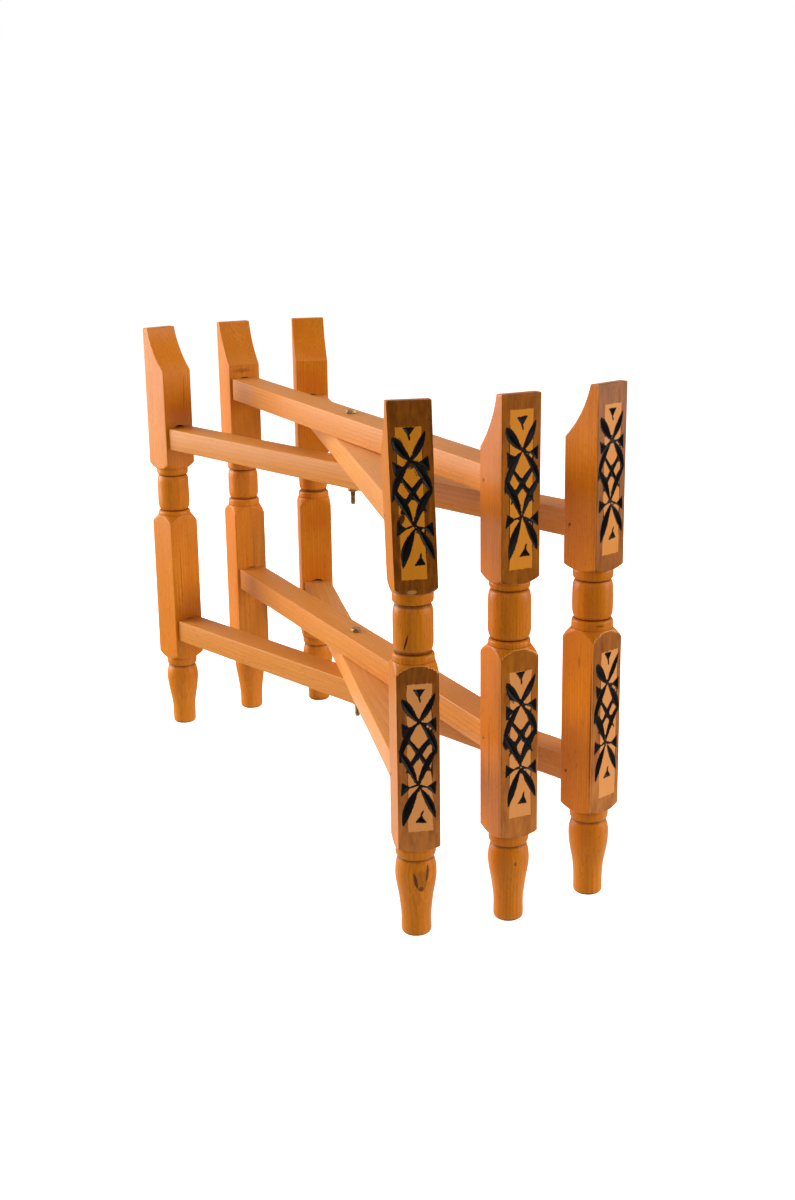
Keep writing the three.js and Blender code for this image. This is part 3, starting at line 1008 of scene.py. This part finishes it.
# Marks in the wood of single legs: place and half sizes along the leg's own axes in millimetres,
# tilt about X in degrees, colour, strength, and how ragged the outline is.
MARKS = {
    "mid_right": [
        ((19.0, 1.6, 59.0), (6.0, 6.2, 11.5), 4, KNOT, 0.30, 0.5),
        ((19.0, -3.9, 59.5), (6.0, 1.7, 9.0), 12, KNOT, 0.8, 0.4),
        ((18.0, 7.4, 66.0), (6.0, 1.5, 9.0), -6, KNOT, 0.8, 0.4),
        ((19.0, 1.4, 50.5), (6.0, 3.0, 2.6), 0, KNOT, 0.7, 0.6),
        ((15.9, -9.7, 290.0), (5.0, 0.8, 9.0), -14, KNOT, 1.0, 0.5),
        ((20.0, -4.5, 337.5), (8.0, 5.0, 2.2), 0, PALE, 0.7, 0.4),
        ((20.0, -13.5, 470.0), (3.0, 3.0, 6.0), 20, INK, 0.9, 2.2),
        ((20.0, 5.5, 446.0), (3.0, 6.0, 5.5), 0, INK, 0.9, 2.4),
        ((20.0, -13.0, 404.0), (3.0, 3.2, 8.0), -20, INK, 0.9, 2.2),
        ((20.0, -10.0, 375.0), (3.0, 3.6, 6.0), -20, INK, 0.9, 2.2),
        ((20.0, -3.0, 452.0), (3.0, 7.0, 4.0), 0, INK, 0.9, 2.4),
    ],
    "high_right": [
        ((19.0, -3.2, 62.0), (5.0, 1.5, 2.2), 0, KNOT, 0.6, 0.5),
        ((20.0, -8.5, 232.0), (3.0, 5.0, 8.5), 20, INK, 1.0, 1.6),
        ((20.0, -14.0, 184.0), (3.0, 3.4, 6.0), 25, INK, 1.0, 1.8),
        ((-2.0, -20.0, 165.0), (1.2, 3.0, 40.0), 0, KNOT, 0.5, 2.4),
    ],
    "high_left": [
        ((-20.0, -17.0, 185.0), (3.0, 7.0, 70.0), 0, GREY, 0.4, 3.2),
        ((-20.0, -6.0, 215.0), (3.0, 4.0, 50.0), 3, GREY, 0.25, 3.4),
        ((-20.0, 4.0, 450.0), (3.0, 12.0, 2.6), 0, KNOT, 0.4, 3.0),
    ],
    "mid_left": [
        ((-20.0, 4.0, 432.0), (5.0, 24.0, 15.0), 20, RUDDY, 0.45, 2.6),
        ((-20.0, -6.0, 250.0), (5.0, 24.0, 16.0), -10, RUDDY, 0.35, 2.8),
        ((-18.0, 0.0, 470.0), (9.0, 22.0, 9.0), 10, RUDDY, 0.35, 2.6),
        ((-20.0, 0.0, 185.0), (5.0, 20.0, 22.0), 0, RUDDY, 0.3, 2.8),
    ],
    "low_left": [
        ((-20.0, -9.0, 430.0), (3.0, 0.7, 26.0), 3, KNOT, 0.45, 1.4),
        ((-20.0, 2.0, 405.0), (5.0, 20.0, 14.0), 10, RUDDY, 0.35, 2.6),
        ((-20.0, 8.0, 200.0), (3.0, 0.7, 40.0), 0, KNOT, 0.4, 1.4),
    ],
    "low_right": [
        ((17.8, -20.0, 180.0), (0.9, 3.0, 68.0), 0, KNOT, 0.75, 1.2),
        ((2.0, -20.0, 243.0), (0.6, 3.0, 7.0), 0, KNOT, 0.7, 1.0),
        ((17.0, -8.0, 279.0), (3.0, 5.0, 1.0), 0, KNOT, 0.6, 1.8),
    ],
}


def leg_wood(key):
    nodes = Nodes(bpy.data.materials.new("leg_wood_" + key))
    light, dark, red, stain_colour, panel_colour = (rgb(*c) for c in LEG_TONES[key])
    colour, height, offset = wood_grain(nodes, "Z", key, light, dark, red, 0.12)
    # paints shade into the lathe's grooves and the bored holes
    colour = nodes.mix(nodes.times(nodes.attribute("recess"), 0.85), colour, PAINTED_SHADE_COLOUR)

    brushed = nodes.noise(offset, (300, 300, 60), 3.0, 0.65)
    ragged = nodes.noise(offset, (900, 900, 700), 3.0, 0.7)
    mottled = nodes.noise(offset, (110, 110, 28), 3.0, 0.65)
    stain = nodes.attribute("stain")
    stain_edge = nodes.plus(stain, nodes.around_zero(brushed, 2.6))
    stained = nodes.ramp(stain_edge, STAIN_EDGE - 0.35, STAIN_EDGE + 0.35)
    panel = nodes.times(nodes.ramp(stain, 0.0, 0.05), nodes.minus(1.0, stained))
    height_up = nodes.height_up()
    stain_colour = nodes.mix(nodes.ramp(height_up, 0.06, 0.31, 0.85, 0.0), stain_colour, LOW_STAIN)
    panel_colour = nodes.mix(nodes.ramp(height_up, 0.26, 0.34, 1.0, 0.0), panel_colour, LOW_PANEL)
    colour = nodes.mix(nodes.times(panel, 0.55), colour, panel_colour)
    deeper = nodes.mix(1.0, stain_colour, THICK_STAIN, "MULTIPLY")
    thick = nodes.mix(nodes.ramp(mottled, 0.30, 0.70), stain_colour, deeper)
    uneven = nodes.ramp(brushed, 0.25, 0.75, 0.66, 0.96)
    colour = nodes.mix(nodes.times(stained, uneven), colour, thick)

    for centre, size, tilt, mark_colour, strength, loose in MARKS[key]:
        away = nodes.plus(nodes.distance_from(centre, size, tilt), nodes.around_zero(ragged, loose))
        colour = nodes.mix(nodes.ramp(away, 0.75, 1.05, strength, 0.0), colour, mark_colour)
    ink_edge = nodes.plus(nodes.attribute("ink"), nodes.around_zero(ragged, 1.5))
    inked = nodes.ramp(ink_edge, INK_EDGE - 0.75, INK_EDGE - 0.35)
    colour = nodes.mix(inked, colour, INK)
    roughness = nodes.plus(nodes.ramp(brushed, 0.2, 0.8, 0.34, 0.46), nodes.times(inked, 0.12))
    return nodes.finish(colour, roughness, height, *WOOD_BUMP, **VARNISH)


def rail_wood(name, seed, light, dark, red):
    nodes = Nodes(bpy.data.materials.new(name))
    colour, height, _ = wood_grain(nodes, "X", seed, rgb(*light), rgb(*dark), rgb(*red), 0.22)
    return nodes.finish(colour, 0.42, height, *WOOD_BUMP, **VARNISH)


def aged_steel():
    nodes = Nodes(bpy.data.materials.new("aged_bolt_steel"))
    patches = nodes.noise((0, 0, 0), (420, 420, 420), 4.0, 0.65)
    specks = nodes.noise((3, 1, 2), (2200, 2200, 2200), 2.0)
    colour = nodes.mix(nodes.ramp(patches, 0.35, 0.65), rgb(0.42, 0.30, 0.14), rgb(0.18, 0.115, 0.05))
    colour = nodes.mix(nodes.ramp(specks, 0.58, 0.7, 0.0, 0.6), colour, rgb(0.09, 0.06, 0.035))
    roughness = nodes.ramp(patches, 0.3, 0.7, 0.36, 0.58)
    return nodes.finish(colour, roughness, specks, 0.00004, 0.5, Metallic=0.85)


def nail_iron():
    nodes = Nodes(bpy.data.materials.new("dark_nail_iron"))
    patches = nodes.noise((0, 0, 0), (1500, 1500, 1500), 3.0)
    colour = nodes.mix(patches, rgb(0.17, 0.08, 0.03), rgb(0.07, 0.035, 0.016))
    return nodes.finish(colour, 0.55, patches, 0.00003, 0.5, Metallic=0.6)


# ---- stage, light and camera

FLOOR_REACH = 30.0
FLOOR_GLOW = 0.85
WORLD_FRONT = 0.16
WORLD_BACK = 0.38
CAMERA_PLACE = (1.6109, -0.7098, 0.7152)
CAMERA_YAW = 64.685     # degrees from looking along +Y
CAMERA_DOWN = 15.408
CAMERA_ROLL = -0.809
CAMERA_LENS = 49.1
CAMERA_FILM = 36.0
# Name, bearing anticlockwise from the camera's in degrees, distance, height, size, power.
STUDIO_LIGHTS = (
    ("left", -108, 2.3, 0.9, 2.2, 104),
    ("right", 80, 2.4, 0.9, 2.0, 59),
    ("front", -18, 3.0, 1.7, 1.8, 30),
    ("above", 180, 0.9, 2.2, 1.6, 15),
)


def add_floor():
    mesh = bpy.data.meshes.new("floor")
    corners = ((-1, -1), (1, -1), (1, 1), (-1, 1))
    points = [(x * FLOOR_REACH, y * FLOOR_REACH, 0) for x, y in corners]
    mesh.from_pydata(points, [], [(0, 1, 2, 3)])
    floor = link_object("floor", mesh)
    nodes = Nodes(bpy.data.materials.new("pale_floor"))
    nodes.fill(nodes.shader, Base_Color=rgb(0.85, 0.85, 0.85), Roughness=0.9,
               Emission_Color=rgb(1.0, 1.0, 1.0), Emission_Strength=FLOOR_GLOW)
    mesh.materials.append(nodes.owner)
    floor.visible_diffuse = False
    floor.visible_glossy = False


def add_light(name, place, turn, size, power):
    """A round soft light."""
    data = bpy.data.lights.new(name, "AREA")
    data.shape = "DISK"
    data.size = size
    data.energy = power
    light = link_object(name, data)
    light.location = place
    light.rotation_euler = turn
    return light


def add_studio_light(name, bearing, away, up, size, power):
    """A light aimed at the stand."""
    angle = math.radians(CAMERA_YAW - 90 + bearing)
    place = Vector((away * math.cos(angle), away * math.sin(angle), up))
    aim = Vector((0, 0, HEIGHT * MM / 2)) - place
    add_light(name, place, aim.to_track_quat("-Z", "Y").to_euler(), size, power)


def add_world():
    """A white backdrop: bright behind the stand, dim on the camera's side. The camera sees it
    white all round."""
    nodes = Nodes(bpy.data.worlds.new("studio"), "Background")
    direction = nodes.add("TexCoord").outputs["Generated"]
    behind = nodes.add("VectorMath", operation="DOT_PRODUCT")
    nodes.feed(behind.inputs[0], direction)
    yaw = math.radians(CAMERA_YAW)
    nodes.feed(behind.inputs[1], (-math.sin(yaw), math.cos(yaw), 0))
    glow = nodes.ramp(behind.outputs["Value"], -0.3, 0.4, WORLD_FRONT, WORLD_BACK)
    seen = nodes.add("LightPath").outputs["Is Camera Ray"]
    nodes.fill(nodes.shader, Color=rgb(1.0, 1.0, 1.0),
               Strength=nodes.ramp(seen, 0.0, 1.0, glow, 1.0, "LINEAR"))
    bpy.context.scene.world = nodes.owner


def add_camera():
    data = bpy.data.cameras.new("camera")
    data.lens = CAMERA_LENS
    data.sensor_width = CAMERA_FILM
    camera = link_object("camera", data)
    turn = Matrix.Rotation(math.radians(CAMERA_YAW), 4, "Z")
    tilt = Matrix.Rotation(math.radians(90 - CAMERA_DOWN), 4, "X")
    roll = Matrix.Rotation(math.radians(CAMERA_ROLL), 4, "Z")
    camera.matrix_world = Matrix.Translation(CAMERA_PLACE) @ turn @ tilt @ roll
    bpy.context.scene.camera = camera


# ---- the scene

RAIL_TONES = {
    "high_upper": ((0.62, 0.235, 0.048), (0.45, 0.150, 0.020), (0.54, 0.185, 0.030)),
    "high_lower": ((0.62, 0.235, 0.044), (0.44, 0.145, 0.018), (0.53, 0.180, 0.026)),
    "mid_upper": ((0.68, 0.285, 0.075), (0.52, 0.190, 0.036), (0.60, 0.225, 0.052)),
    "mid_lower": ((0.68, 0.285, 0.075), (0.50, 0.180, 0.032), (0.60, 0.225, 0.048)),
    "low_upper": ((0.58, 0.215, 0.034), (0.43, 0.140, 0.013), (0.50, 0.170, 0.020)),
    "low_lower": ((0.60, 0.230, 0.044), (0.43, 0.145, 0.016), (0.51, 0.175, 0.026)),
}

bpy.context.scene.view_settings.view_transform = "Standard"
add_camera()
add_world()
add_floor()
for settings in STUDIO_LIGHTS:
    add_studio_light(*settings)
# what a lit table top throws up at the feet
bounce = add_light("bounce", (0.25, -0.1, 2 * MM), (math.pi, 0, 0), 1.2, 2.4)
bounce.visible_camera = False
for frame_name in FRAMES:
    for side in SIDES:
        add_leg(frame_name, side, leg_wood(f"{frame_name}_{side}"))
    for level in LEVELS:
        key = f"{frame_name}_{level}"
        material = rail_wood("rail_wood_" + key, "rail " + key, *RAIL_TONES[key])
        add_rail(frame_name, level, material, random.Random("bar " + key))
add_hardware(aged_steel())
iron = nail_iron()
for frame_name in FRAMES:
    for side in SIDES:
        add_nails(frame_name, side, iron)
